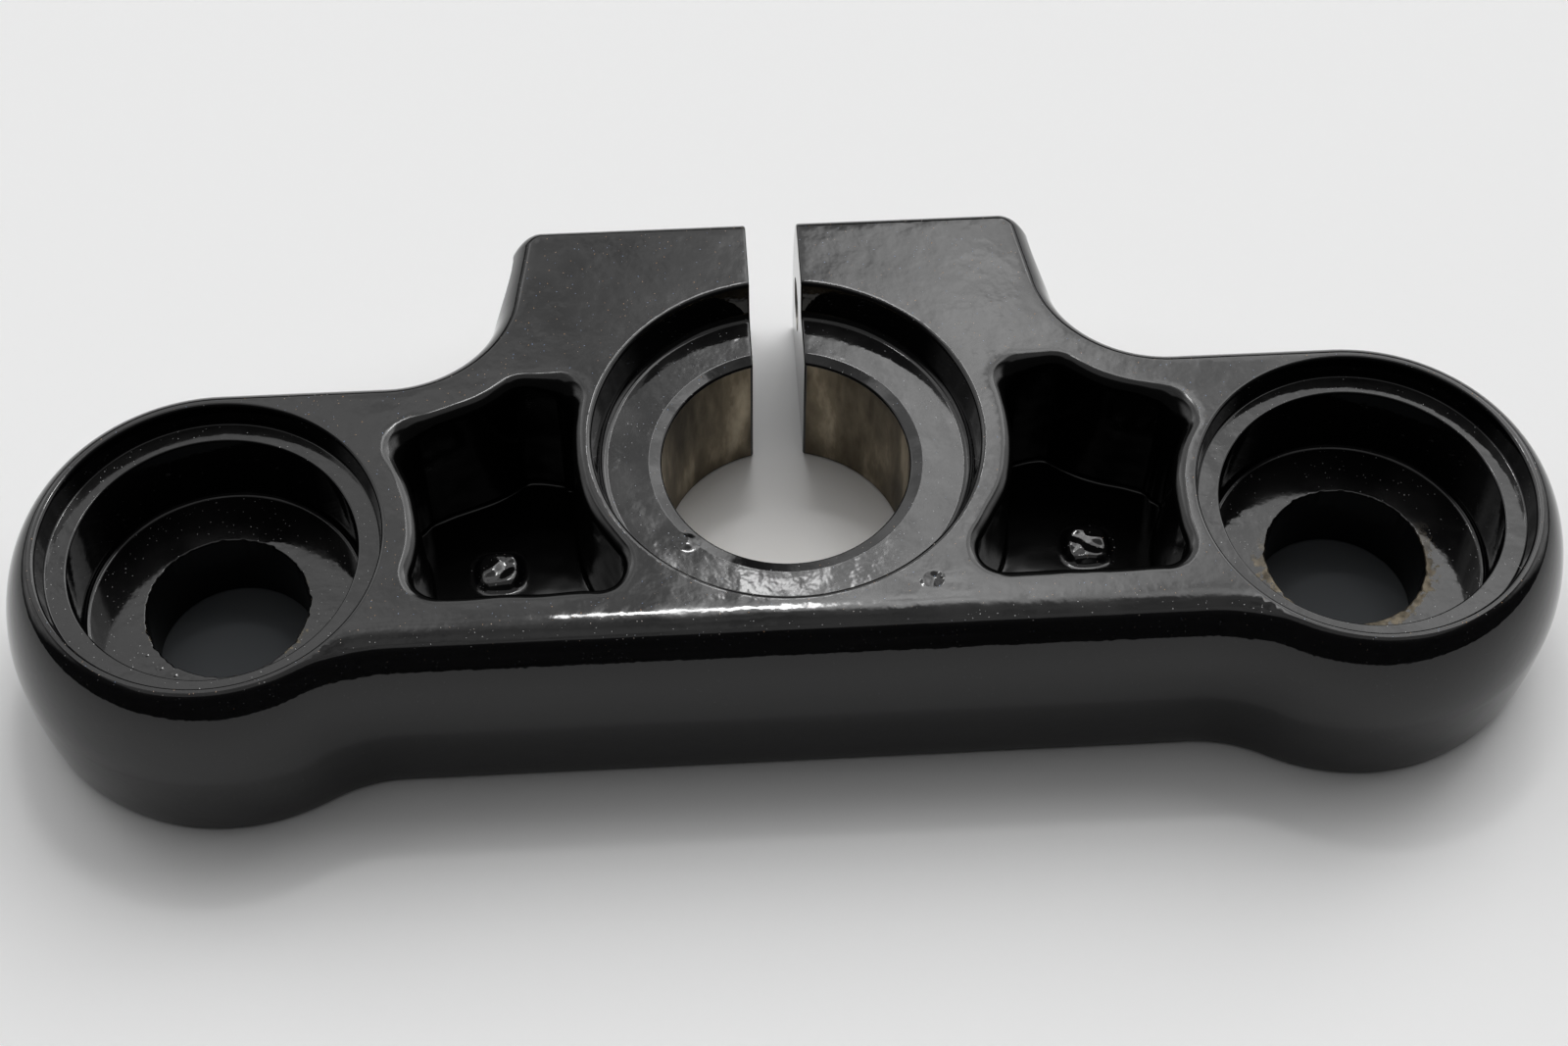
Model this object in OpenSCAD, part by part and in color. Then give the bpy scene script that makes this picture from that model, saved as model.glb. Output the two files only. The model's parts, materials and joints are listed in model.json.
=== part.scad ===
// Upper triple clamp of a motorcycle fork: one casting with a stem clamp between two fork cups.
// The stem bore's axis is the Z axis, the underside lies at z = 0 and the split ears point to +Y.

/* [Forks] */
// Distance between the axes of the two fork cups
fork_spacing = 200; // [190:1:215]
// Distance from the line through the fork cups back to the stem axis
stem_offset = 18; // [14:0.5:22]
// Diameter of the deep fork bore
fork_bore_d = 49.8; // [46:0.2:50.6]
// Depth of the fork bore's floor below the top face
fork_bore_depth = 20.5; // [14:0.5:24]
// Diameter of the shallow seat in the mouth of each cup, at its ledge
seat_d = 57.4; // [54:0.2:58]
// Diameter of the seat's mouth at the top face
seat_mouth_d = 60.0; // [58.4:0.2:60.2]
// Depth of the seat's ledge below the top face
seat_depth = 4.6; // [3:0.2:8]
// Diameter of the hole in the floor of each cup
cap_hole_d = 28.7; // [20:0.1:34]
// Fillet between the fork bore and its floor
cup_fillet = 1; // [0.4:0.1:2]
// Break of the ledge's inner edge
ledge_break = 0.35; // [0.1:0.05:1]

/* [Stem clamp] */
// Diameter of the stem bore
stem_bore_d = 44.4; // [38:0.2:46]
// Diameter of the chamfered lip at the top of the stem bore
lip_d = 48.8; // [47:0.2:52]
// Depth of that lip's chamfer
lip_depth = 0.5; // [0.2:0.1:1]
// Diameter of the recess round the stem bore, at the top face
recess_d = 70.4; // [68:0.2:71]
// Diameter of the recess at its floor
recess_floor_d = 66.2; // [62:0.2:67]
// Depth of the recess below the top face
recess_depth = 7.8; // [5:0.2:10]
// Fillet round the recess floor
recess_fillet = 1.6; // [0.5:0.1:2.5]

/* [Body outline at its widest level] */
// Height from the underside to the top face
height = 36; // [32:0.5:40]
// Radius of the round bosses round the fork cups
boss_r = 37.6; // [37.4:0.1:40]
// Distance from the stem axis forward to the front of the bar
bar_front = 47.5; // [45:0.5:50]
// Radius of the hollow that leads from the bar's front into each boss
front_hollow_r = 25; // [18:0.5:34]
// Radius of the hollow between the bar's rear and each ear
ear_hollow_r = 17.6; // [14:0.2:19.4]
// Distance from the stem axis sideways to the centre of that hollow
ear_hollow_x = 70.9; // [69:0.1:74]
// Distance from the stem axis back to the rear face of the ears
ear_rear = 55; // [53:0.5:58]
// Half the width of both ears together at their rear corners
ear_half_w = 51.6; // [49.4:0.2:53]
// Radius of the rear corners of the ears
ear_corner_r = 9; // [7.8:0.2:11]

/* [Side profile] */
// Height of the widest level above the underside
widest_z = 17; // [13:0.5:21]
// How far the side comes in from the widest level up to the top face
top_inset = 7.2; // [6:0.1:7.3]
// Roundness of the upper side, where 2 is an ellipse and less is flatter
top_power = 1.66; // [1.4:0.02:2.2]
// How far the side comes in from the widest level down to the underside
bottom_inset = 1.9; // [1:0.1:3]
// Roundness of the lower side
bottom_power = 1.8; // [1.4:0.05:2.4]

/* [Pockets] */
// Depth of the weight-saving pockets below the top face
pocket_depth = 27; // [20:0.5:30]
// Wall left between the recess and each pocket at the top face
pocket_stem_wall = 2.1; // [0.6:0.1:3]
// Wall left between the mouth of a cup and each pocket at the top face
pocket_cup_wall = 2.9; // [2:0.1:6]
// Wall left between the ear hollow and each pocket, at the widest level
pocket_ear_wall = 13.0; // [12:0.1:15]
// Wall left between the bar's front and each pocket, at the widest level
pocket_front_wall = 14.9; // [13:0.1:17]
// Distance from the stem axis back to the rear edge of each pocket
pocket_rear = 15.4; // [14.6:0.1:17]
// Radius of the pocket's two front corners and of its corner by the cup
pocket_corner_r = 6.5; // [6:0.1:7.5]
// Radius of the pocket's two corners by the ear
pocket_rear_corner_r = 5.6; // [5.4:0.1:6]
// Rounding of the pocket's edge at the top face
pocket_edge_r = 1.7; // [1:0.1:2]
// Draft angle of the pocket's walls
pocket_draft = 1.2; // [0:0.1:1.5]
// Fillet round the pocket's floor
pocket_fillet = 2.8; // [1:0.1:3]
// Diameter of the low cast pip on the pocket's floor
pip_d = 8; // [5:0.5:12]
// Height of that pip
pip_h = 1.6; // [0.8:0.1:3]

/* [Clamp slit and pinch bolt] */
// Width of the slit between the ears
slit_w = 9.5; // [4:0.5:12]
// Diameter of the pinch bolt's clearance hole
bolt_hole_d = 10.5; // [6.5:0.1:11]
// Diameter of the flat seats on the ears' outer sides for the bolt's head and its nut
spot_face_d = 28; // [16:0.5:29]
// Distance from the stem axis back to the pinch bolt's axis
bolt_back = 44; // [43:0.5:45]
// Height of the pinch bolt's axis above the underside
bolt_z = 18; // [16:0.5:20]
// Distance from the stem axis sideways to each of those seats
spot_face_x = 48.3; // [44:0.1:49]

/* [Hidden] */
boss_x = fork_spacing / 2;
boss = [boss_x, -stem_offset];
stem = [0, 0];
ear_hollow = [ear_hollow_x, boss.y + boss_r + ear_hollow_r];
pocket_floor_z = height - pocket_depth;
pip_offset = [2.4, 1.2];
over = 1;
body_arc_step = 7.5;
pocket_arc_step = 15;
profile_steps = 7;
underside_steps = 3;
fillet_steps = 3;
$fn = 96;

function direction(from, to) = atan2(to.y - from.y, to.x - from.x);

// Angle a moved by whole turns until it is at or above b
function at_least(a, b) = a < b ? at_least(a + 360, b) : a >= b + 360 ? at_least(a - 360, b) : a;

// An arc of an outline that runs anticlockwise: [centre, radius, first angle, last angle, bulge,
// hub]. A bulging arc (bulge 1) turns anticlockwise and shrinks as the outline is inset; a hollow
// one (bulge -1) turns clockwise and grows. The flat ends of a loft fan out from the hubs.
function bulging(c, r, a, b, hub) = [c, r, a, at_least(b, a), 1, hub];
function hollow(c, r, a, b, hub) = [c, r, at_least(a, b), b, -1, hub];

// Points of an arc, each with its arc's hub
function arc_points(arc, inset, step) =
    let (
        turn = arc[3] - arc[2],
        steps = max(1, ceil(abs(turn) / step)),
        r = arc[1] - arc[4] * inset
    )
    [for (i = [0 : steps])
        let (a = arc[2] + turn * i / steps)
        [arc[0] + r * [cos(a), sin(a)], arc[5]]];

// The arcs touch, or are joined by the straight line that touches both, so an inset outline stays
// parallel. A point that two arcs share is kept once.
function outline(arcs, inset, step) =
    let (
        all = [for (arc = arcs) each arc_points(arc, inset, step)],
        count = len(all)
    )
    [for (i = [0 : count - 1]) if (norm(all[i][0] - all[(i + 1) % count][0]) > 0.001) all[i]];

function mirrored(arcs) = [
    for (i = [len(arcs) - 1 : -1 : 0])
        let (arc = arcs[i])
        [[-arc[0].x, arc[0].y], arc[1], 180 - arc[3], 180 - arc[2], arc[4], [-arc[5].x, arc[5].y]]
];

// Centre of a circle that lies at distance ra from a and rb from b, on the left of the way from a to b
function apex(a, ra, b, rb) =
    let (
        d = norm(b - a),
        u = (b - a) / d,
        along = (ra * ra - rb * rb + d * d) / (2 * d),
        aside = sqrt(ra * ra - along * along)
    )
    a + along * u + aside * [-u.y, u.x];

// The body's right half, from the middle of the bar's front round to the middle of the ears' rear
front_hollow_y = -bar_front - front_hollow_r;
front_hollow = [
    boss_x - sqrt(pow(boss_r + front_hollow_r, 2) - pow(boss.y - front_hollow_y, 2)),
    front_hollow_y
];
ear_corner = [ear_half_w - ear_corner_r, ear_rear - ear_corner_r];
ear_side_normal = direction(ear_corner, ear_hollow)
    + acos((ear_hollow_r + ear_corner_r) / norm(ear_hollow - ear_corner));
right_side = [
    hollow(front_hollow, front_hollow_r, 90, direction(front_hollow, boss), stem),
    bulging(boss, boss_r, direction(boss, front_hollow), 90, boss),
    hollow(ear_hollow, ear_hollow_r, -90, ear_side_normal - 180, stem),
    bulging(ear_corner, ear_corner_r, ear_side_normal, 90, stem)
];
body_arcs = concat(right_side, mirrored(right_side));

// The right pocket keeps an even wall to the recess, the cup, the ear hollow and the bar's front
stem_side_r = recess_d / 2 + pocket_stem_wall;
cup_side_r = seat_mouth_d / 2 + pocket_cup_wall;
ear_side_r = ear_hollow_r + pocket_ear_wall;
pocket_front = pocket_front_wall - bar_front;
function beside_line(c, r, line_y, side) = [
    c.x + side * sqrt(r * r - pow(line_y - c.y, 2)), line_y
];
front_corner_y = pocket_front + pocket_corner_r;
rear_corner_y = pocket_rear - pocket_rear_corner_r;
front_by_stem = beside_line(stem, stem_side_r + pocket_corner_r, front_corner_y, 1);
front_by_cup = beside_line(boss, cup_side_r + pocket_corner_r, front_corner_y, -1);
rear_by_cup = apex(boss, cup_side_r + pocket_corner_r, ear_hollow, ear_side_r + pocket_corner_r);
rear_by_ear = beside_line(ear_hollow, ear_side_r + pocket_rear_corner_r, rear_corner_y, -1);
rear_by_stem = beside_line(stem, stem_side_r + pocket_rear_corner_r, rear_corner_y, 1);
pocket_middle = (front_by_stem + front_by_cup + rear_by_cup + rear_by_stem) / 4;
pocket_arcs = [
    bulging(front_by_stem, pocket_corner_r,
        direction(front_by_stem, stem), -90, pocket_middle),
    bulging(front_by_cup, pocket_corner_r,
        -90, direction(front_by_cup, boss), pocket_middle),
    hollow(boss, cup_side_r,
        direction(boss, front_by_cup), direction(boss, rear_by_cup), pocket_middle),
    bulging(rear_by_cup, pocket_corner_r,
        direction(rear_by_cup, boss), direction(rear_by_cup, ear_hollow), pocket_middle),
    hollow(ear_hollow, ear_side_r,
        direction(ear_hollow, rear_by_cup), direction(ear_hollow, rear_by_ear), pocket_middle),
    bulging(rear_by_ear, pocket_rear_corner_r,
        direction(rear_by_ear, ear_hollow), 90, pocket_middle),
    bulging(rear_by_stem, pocket_rear_corner_r,
        90, direction(rear_by_stem, stem), pocket_middle),
    hollow(stem, stem_side_r,
        direction(stem, rear_by_stem), direction(stem, front_by_stem), pocket_middle)
];

// Levels are [inset, height] pairs from the bottom up. The side is a superellipse on each side of
// the widest level, which gives a long, almost upright flank and a full round edge at the top.
function bow(t, power, inset) = inset * (1 - pow(cos(t), 2 / power));
function rise(t, power) = pow(sin(t), 2 / power);
body_levels = concat(
    [for (i = [underside_steps : -1 : 1])
        let (t = 90 * i / underside_steps)
        [bow(t, bottom_power, bottom_inset), widest_z * (1 - rise(t, bottom_power))]],
    [for (i = [0 : profile_steps])
        let (t = 90 * i / profile_steps)
        [bow(t, top_power, top_inset), widest_z + (height - widest_z) * rise(t, top_power)]]
);
wall_inset = pocket_edge_r
    + tan(pocket_draft) * (pocket_depth - pocket_edge_r - pocket_fillet);
pocket_levels = concat(
    [for (i = [fillet_steps : -1 : 0])
        let (t = 90 * i / fillet_steps)
        [wall_inset + pocket_fillet * (1 - cos(t)), pocket_floor_z + pocket_fillet * (1 - sin(t))]],
    [for (i = [fillet_steps : -1 : 0])
        let (t = 90 * i / fillet_steps)
        [pocket_edge_r * sin(t), height - pocket_edge_r * (1 - cos(t))]],
    [[0, height + over]]
);

// Skins a stack of parallel outlines, one for each level, into one solid. The side faces are flat
// trapezoids. Each flat end is a fan of triangles about every hub, and a triangle between two hubs
// where the outline passes from one to the next.
module loft(arcs, levels, step) {
    rings = [for (level = levels) outline(arcs, level[0], step)];
    count = len(rings[0]);
    last = len(levels) - 1;
    hubs = [for (p = rings[0]) p[1]];
    firsts = [for (i = [0 : count - 1]) if (search([hubs[i]], hubs)[0] == i) i];
    hub_of = [for (h = hubs) search([h], [for (f = firsts) hubs[f]])[0]];
    low_hub = (last + 1) * count;
    high_hub = low_hub + len(firsts);
    points = [
        for (k = [0 : last]) each [for (p = rings[k]) [p[0].x, p[0].y, levels[k][1]]],
        for (f = firsts) [hubs[f].x, hubs[f].y, levels[0][1]],
        for (f = firsts) [hubs[f].x, hubs[f].y, levels[last][1]]
    ];
    faces = [
        for (i = [0 : count - 1])
            let (j = (i + 1) % count, own = hub_of[i], next = hub_of[j])
            each [
                for (k = [0 : last - 1])
                    [k * count + i, (k + 1) * count + i, (k + 1) * count + j, k * count + j],
                [low_hub + own, i, j],
                [last * count + j, last * count + i, high_hub + own],
                if (own != next) [low_hub + own, j, low_hub + next],
                if (own != next) [high_hub + next, last * count + j, high_hub + own]
            ]
    ];
    polyhedron(points, faces);
}

module fork_cup() {
    floor_z = height - fork_bore_depth;
    ledge_z = height - seat_depth;
    bore_r = fork_bore_d / 2;
    translate([boss.x, boss.y, 0]) {
        translate([0, 0, -over]) cylinder(d = cap_hole_d, h = floor_z + 2 * over);
        rotate_extrude() polygon([
            [0, floor_z],
            each [for (i = [0 : fillet_steps])
                let (t = 90 * i / fillet_steps)
                [bore_r - cup_fillet * (1 - sin(t)), floor_z + cup_fillet * (1 - cos(t))]],
            [bore_r, ledge_z - ledge_break],
            [bore_r + ledge_break, ledge_z],
            [seat_d / 2, ledge_z],
            [seat_mouth_d / 2, height],
            [seat_mouth_d / 2, height + over],
            [0, height + over]
        ]);
    }
}

module stem_clamp_bore() {
    floor_z = height - recess_depth;
    bore_r = stem_bore_d / 2;
    rotate_extrude() polygon([
        [0, -over],
        [bore_r, -over],
        [bore_r, floor_z - lip_depth],
        [lip_d / 2, floor_z],
        each [for (i = [0 : fillet_steps])
            let (t = 90 * i / fillet_steps)
            [recess_floor_d / 2 - recess_fillet * (1 - sin(t)),
                floor_z + recess_fillet * (1 - cos(t))]],
        [recess_d / 2, height],
        [recess_d / 2, height + over],
        [0, height + over]
    ]);
}

module pinch_bolt_hole() {
    ear_span = 2 * ear_half_w;
    translate([-ear_span / 2, bolt_back, bolt_z]) rotate([0, 90, 0])
        cylinder(d = bolt_hole_d, h = ear_span);
    for (side = [-1, 1])
        translate([side * spot_face_x, bolt_back, bolt_z]) rotate([0, side * 90, 0])
            cylinder(d = spot_face_d, h = ear_span);
}

module pocket_pip() {
    pip_r = pip_d / 2;
    centre = pocket_middle + pip_offset;
    translate([centre.x, centre.y, pocket_floor_z]) rotate_extrude() polygon([
        [0, -over],
        [pip_r, -over],
        each [for (i = [0 : fillet_steps])
            let (t = 90 * i / fillet_steps)
            [pip_r * cos(t), pip_h * sin(t)]]
    ]);
}

module both_sides() {
    children();
    mirror([1, 0, 0]) children();
}

module clamp_body() {
    color("#1c1c1e") {
        difference() {
            loft(body_arcs, body_levels, body_arc_step);
            both_sides() {
                fork_cup();
                loft(pocket_arcs, pocket_levels, pocket_arc_step);
            }
            stem_clamp_bore();
            translate([-slit_w / 2, 0, -over]) cube([slit_w, ear_rear + over, height + 2 * over]);
            pinch_bolt_hole();
        }
        both_sides() pocket_pip();
    }
}

clamp_body();
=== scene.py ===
import json
import math

import bmesh
import bpy
import numpy as np
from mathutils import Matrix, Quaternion, Vector
from mathutils.geometry import delaunay_2d_cdt


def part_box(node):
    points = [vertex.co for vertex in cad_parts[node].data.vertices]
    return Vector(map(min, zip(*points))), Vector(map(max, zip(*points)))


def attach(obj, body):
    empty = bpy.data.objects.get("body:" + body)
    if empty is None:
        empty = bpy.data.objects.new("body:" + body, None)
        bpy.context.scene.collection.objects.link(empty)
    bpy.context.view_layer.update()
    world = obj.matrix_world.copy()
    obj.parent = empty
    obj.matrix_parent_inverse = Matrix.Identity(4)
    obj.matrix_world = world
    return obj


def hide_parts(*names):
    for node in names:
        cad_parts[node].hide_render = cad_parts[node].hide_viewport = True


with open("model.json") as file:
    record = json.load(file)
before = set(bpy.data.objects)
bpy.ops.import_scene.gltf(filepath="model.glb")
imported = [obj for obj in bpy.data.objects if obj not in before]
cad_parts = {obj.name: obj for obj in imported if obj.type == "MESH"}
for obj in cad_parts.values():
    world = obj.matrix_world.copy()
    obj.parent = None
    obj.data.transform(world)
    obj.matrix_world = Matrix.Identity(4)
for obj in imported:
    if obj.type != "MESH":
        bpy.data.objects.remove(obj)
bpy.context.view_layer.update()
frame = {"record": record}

# Lengths are in millimetres up to the point where a mesh is made, and angles in degrees.
MM = 0.001
MOUNTS = {mount["name"]: mount for mount in frame["record"]["mounts"]}


def radius_of(mount):
    return MOUNTS[mount]["dims"]["r_mm"]


FORK = np.array(MOUNTS["fork_bore_right"]["pos_m"][:2]) / MM
STEM = np.zeros(2)
BODY_CORNER = np.array(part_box("clamp_body")[1]) / MM
HEIGHT = BODY_CORNER[2]
EAR_REAR = BODY_CORNER[1]
BOSS_R = BODY_CORNER[0] - FORK[0]

# The body's outline at its widest level, as on the solid
BAR_FRONT = 47.5
FRONT_HOLLOW_R = 25
EAR_HOLLOW_R = 17.6
EAR_HOLLOW = np.array([70.9, FORK[1] + BOSS_R + EAR_HOLLOW_R])
EAR_CORNER_R = 9
EAR_CORNER = np.array([51.6 - EAR_CORNER_R, EAR_REAR - EAR_CORNER_R])

# The side's profile: insets from the widest level to the top face and to the underside
WIDEST_Z = 17
TOP_INSET, TOP_POWER = 7.2, 1.66
BOTTOM_INSET, BOTTOM_POWER = 1.9, 1.8

# Cups and stem recess
CUP_R = radius_of("fork_bore_right")
CUP_FLOOR_Z = HEIGHT - 20.5
CAP_HOLE_R = radius_of("cap_hole_right")
SEAT_MOUTH_R, SEAT_R, SEAT_Z = 29.45, 28.7, HEIGHT - 4.6
STEM_R = radius_of("stem_bore")
LIP_R, LIP_Z = 24.4, HEIGHT - 8.3
RECESS_MOUTH_R, RECESS_FLOOR_R, RECESS_Z = 34.4, 33.1, HEIGHT - 7.8

# Pockets, as on the solid up to the draft
POCKET_FLOOR_Z = HEIGHT - 27
POCKET_FRONT = 14.9 - BAR_FRONT
POCKET_REAR = 15.4
POCKET_CORNER_R, POCKET_REAR_CORNER_R = 6.5, 5.6
BY_STEM_R, BY_CUP_R, BY_EAR_R = 37.3, 32.9, 30.6
POCKET_EDGE_R = 1.7
POCKET_DRAFT = 1.2

# What casting made of the pockets: the cores of both lay a little to the right, their walls wave,
# and their floors dip to the rear and carry a crumpled lump
CORE_SHIFT = 1.15
WALL_WAVE, WALL_WAVE_SIZE = 0.16, 13
POCKET_FLOOR_FILLET = 0.7
FLOOR_SLOPE, FLOOR_LEVEL_Y = math.tan(math.radians(7)), -8.6
LUMP, LUMP_R, LUMP_HEIGHT, LUMP_STEEPNESS = np.array([53.6, -9.0]), 5.0, 1.6, 2.6
LUMP_WAVE, LUMP_WAVE_SIZE = 0.12, 4.2

# The pocket's lip starts that far outside the outline and is that deep; near two rear corners it
# is wider and deeper by the second pair
POCKET_LIP, POCKET_LIP_DEPTH = 0.6, 2.4
WIDE_LIP, WIDE_LIP_DEPTH = 2.0, 3.2
WIDE_CORNERS, WIDE_REACH = np.array([[37.8, 13.8], [70.1, 3.7]]), 9.0

# Nicks in the upper edge of the cap holes
NICK, NICK_REACH = 0.12, 0.45

# The top face sags to its front edge, where the holes leave room; the side follows above a level
SAG, SAG_WIDTH, SAG_ROOM, SAG_ABOVE = 0.5, 4.5, 3, 24
SAG_NONE_Y, SAG_FULL_Y = -15, -25

# Slit and pinch bolt
SLIT_HALF = 4.75
SLIT_EDGE_R = 0.45
CUT_X = SLIT_HALF + SLIT_EDGE_R
BOLT_R = radius_of("pinch_bolt")
SPOT_FACE_R = 14
SPOT_FACE_X = MOUNTS["pinch_bolt"]["dims"]["length_mm"] / 2
BOLT_AXIS = np.array(MOUNTS["pinch_bolt"]["pos_m"][1:]) / MM

# Finishes, in the order of the casting's material slots
ENAMEL, POCKET_ENAMEL, RAW, MILLED = range(4)


# Outlines and profiles

def heading(start, end):
    """The direction from one point to the other, as an angle."""
    return math.degrees(math.atan2(end[1] - start[1], end[0] - start[0]))


def arc(centre, radius, start, end, bulge, step=2.5):
    """A circle's points from one angle to another, with the outline's outward normals.

    A bulging arc (1) turns anticlockwise and its normals leave the centre; a hollow one (-1) turns
    clockwise and its normals meet there.
    """
    turn = (end - start) * bulge % 360 * bulge
    angles = np.radians(start + np.linspace(0, turn, max(2, math.ceil(abs(turn) / step) + 1)))
    out = np.column_stack([np.cos(angles), np.sin(angles)])
    return np.asarray(centre) + radius * out, bulge * out


def chain(runs, gap, closed=False):
    """Joins runs of points and normals, with steps of at most gap along the straight stretches."""
    points = np.vstack([run[0] for run in runs])
    normals = np.vstack([run[1] for run in runs])
    if closed:
        points, normals = np.vstack([points, points[:1]]), np.vstack([normals, normals[:1]])
    lengths = np.linalg.norm(np.diff(points, axis=0), axis=1)
    used = np.append(lengths > 1e-6, True)
    points, normals = points[used], normals[used]
    counts = np.ceil(np.linalg.norm(np.diff(points, axis=0), axis=1) / gap - 1e-9).astype(int)
    piece = np.repeat(np.arange(len(counts)), counts)
    share = (np.arange(len(piece)) - np.repeat(np.cumsum(counts) - counts, counts)) / counts[piece]
    points, normals = (
        np.vstack([a[piece] + share[:, None] * (a[piece + 1] - a[piece]), a[-1:]])
        for a in (points, normals)
    )
    return (points[:-1], normals[:-1]) if closed else (points, normals)


def mirrored(run):
    return tuple(part[::-1] * [-1, 1] for part in run)


def meeting(a, radius_a, b, radius_b):
    """The point at those two distances from a and b, on the left of the way from a to b."""
    span = np.linalg.norm(b - a)
    ahead = (b - a) / span
    along = (radius_a**2 - radius_b**2 + span**2) / (2 * span)
    aside = math.sqrt(radius_a**2 - along**2)
    return a + along * ahead + aside * np.array([-ahead[1], ahead[0]])


def beside(centre, radius, y, side):
    """The point at that height y and at that distance from centre, on one side of it."""
    return np.array([centre[0] + side * math.sqrt(radius**2 - (y - centre[1]) ** 2), y])


def body_outline():
    """The body at its widest level, from the slit's left edge round the front to its right edge."""
    front_hollow = beside(FORK, BOSS_R + FRONT_HOLLOW_R, -BAR_FRONT - FRONT_HOLLOW_R, -1)
    reach = np.linalg.norm(EAR_HOLLOW - EAR_CORNER)
    side_normal = heading(EAR_CORNER, EAR_HOLLOW) + math.degrees(
        math.acos((EAR_HOLLOW_R + EAR_CORNER_R) / reach)
    )
    right = [
        arc(front_hollow, FRONT_HOLLOW_R, 90, heading(front_hollow, FORK), -1),
        arc(FORK, BOSS_R, heading(FORK, front_hollow), 90, 1),
        arc(EAR_HOLLOW, EAR_HOLLOW_R, -90, side_normal - 180, -1),
        arc(EAR_CORNER, EAR_CORNER_R, side_normal, 90, 1),
        (np.array([[CUT_X, EAR_REAR]]), np.array([[0.0, 1.0]])),
    ]
    return chain([mirrored(run) for run in right[::-1]] + right, gap=1.7)


def pocket_outline():
    """The right pocket at the top face: even walls to the stem, cup, ear and front, round corners."""
    corner, rear_corner = POCKET_CORNER_R, POCKET_REAR_CORNER_R
    front_y, rear_y = POCKET_FRONT + corner, POCKET_REAR - rear_corner
    front_by_stem = beside(STEM, BY_STEM_R + corner, front_y, 1)
    front_by_cup = beside(FORK, BY_CUP_R + corner, front_y, -1)
    rear_by_cup = meeting(FORK, BY_CUP_R + corner, EAR_HOLLOW, BY_EAR_R + corner)
    rear_by_ear = beside(EAR_HOLLOW, BY_EAR_R + rear_corner, rear_y, -1)
    rear_by_stem = beside(STEM, BY_STEM_R + rear_corner, rear_y, 1)
    runs = [
        arc(front_by_stem, corner, heading(front_by_stem, STEM), -90, 1, 6),
        arc(front_by_cup, corner, -90, heading(front_by_cup, FORK), 1, 6),
        arc(FORK, BY_CUP_R, heading(FORK, front_by_cup), heading(FORK, rear_by_cup), -1),
        arc(rear_by_cup, corner, heading(rear_by_cup, FORK), heading(rear_by_cup, EAR_HOLLOW), 1, 6),
        arc(EAR_HOLLOW, BY_EAR_R, heading(EAR_HOLLOW, rear_by_cup),
            heading(EAR_HOLLOW, rear_by_ear), -1),
        arc(rear_by_ear, rear_corner, heading(rear_by_ear, EAR_HOLLOW), 90, 1, 6),
        arc(rear_by_stem, rear_corner, 90, heading(rear_by_stem, STEM), 1, 6),
        arc(STEM, BY_STEM_R, heading(STEM, rear_by_stem), heading(STEM, front_by_stem), -1),
    ]
    return chain(runs, gap=1.5, closed=True)


def rounded(corners, steps=6):
    """A line through (x, y, radius) corners, each turned into a circular arc of that radius."""
    spots = np.array([corner[:2] for corner in corners], float)
    line = [spots[:1]]
    for before, spot, after, radius in zip(
        spots, spots[1:], spots[2:], [corner[2] for corner in corners[1:-1]]
    ):
        if not radius:
            line.append(spot[None])
            continue
        back = (before - spot) / np.linalg.norm(before - spot)
        ahead = (after - spot) / np.linalg.norm(after - spot)
        half = math.acos(np.clip(back @ ahead, -1, 1)) / 2
        middle = (back + ahead) / np.linalg.norm(back + ahead)
        centre = spot + radius / math.sin(half) * middle
        turn = np.linspace(half - math.pi / 2, math.pi / 2 - half, steps + 1)[:, None]
        across = (ahead - back) / np.linalg.norm(ahead - back)
        line.append(centre + radius * (np.sin(turn) * across - np.cos(turn) * middle))
    return np.vstack(line + [spots[-1:]])


def side_levels():
    """Inset and height of each level: a superellipse below and another above the widest level."""
    low = np.radians(np.linspace(90, 0, 11)[:-1])
    high = np.radians(np.linspace(0, 90, 25))
    inset = np.concatenate([
        BOTTOM_INSET * (1 - np.cos(low) ** (2 / BOTTOM_POWER)),
        TOP_INSET * (1 - np.cos(high) ** (2 / TOP_POWER)),
    ])
    z = np.concatenate([
        WIDEST_Z * (1 - np.sin(low) ** (2 / BOTTOM_POWER)),
        WIDEST_Z + (HEIGHT - WIDEST_Z) * np.sin(high) ** (2 / TOP_POWER),
    ])
    inset[0], z[0] = BOTTOM_INSET, 0
    inset[-1], z[-1] = TOP_INSET, HEIGHT
    return inset, z


def pocket_levels():
    """Inset and height down a pocket: an elliptic lip, a drafted wall and a fillet to the floor."""
    turn = np.radians(np.linspace(0, 90, 9))
    wall = POCKET_EDGE_R + math.tan(math.radians(POCKET_DRAFT)) * (
        HEIGHT - POCKET_EDGE_R - POCKET_FLOOR_FILLET - POCKET_FLOOR_Z
    )
    inset = np.concatenate([
        (POCKET_EDGE_R + POCKET_LIP) * np.sin(turn) - POCKET_LIP,
        wall + POCKET_FLOOR_FILLET * (1 - np.cos(turn)),
    ])
    z = np.concatenate([
        HEIGHT - POCKET_LIP_DEPTH * (1 - np.cos(turn)),
        POCKET_FLOOR_Z + POCKET_FLOOR_FILLET * (1 - np.sin(turn)),
    ])
    return inset, z


def smooth(share):
    """0 up to 0, 1 from 1 on, and a smooth step between."""
    share = np.clip(share, 0, 1)
    return share * share * (3 - 2 * share)


def ripple(points, size, seed):
    """An uneven wave of about -1 to 1 over the plane: five sines of that size, each turned on."""
    turn = 2.4 * np.arange(5) + seed
    pace = 2 * math.pi / size * (0.7 + 0.15 * np.arange(5))
    across = points @ np.array([np.cos(turn), np.sin(turn)])
    return 0.4 * np.sin(across * pace + turn**2).sum(axis=1)


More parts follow.
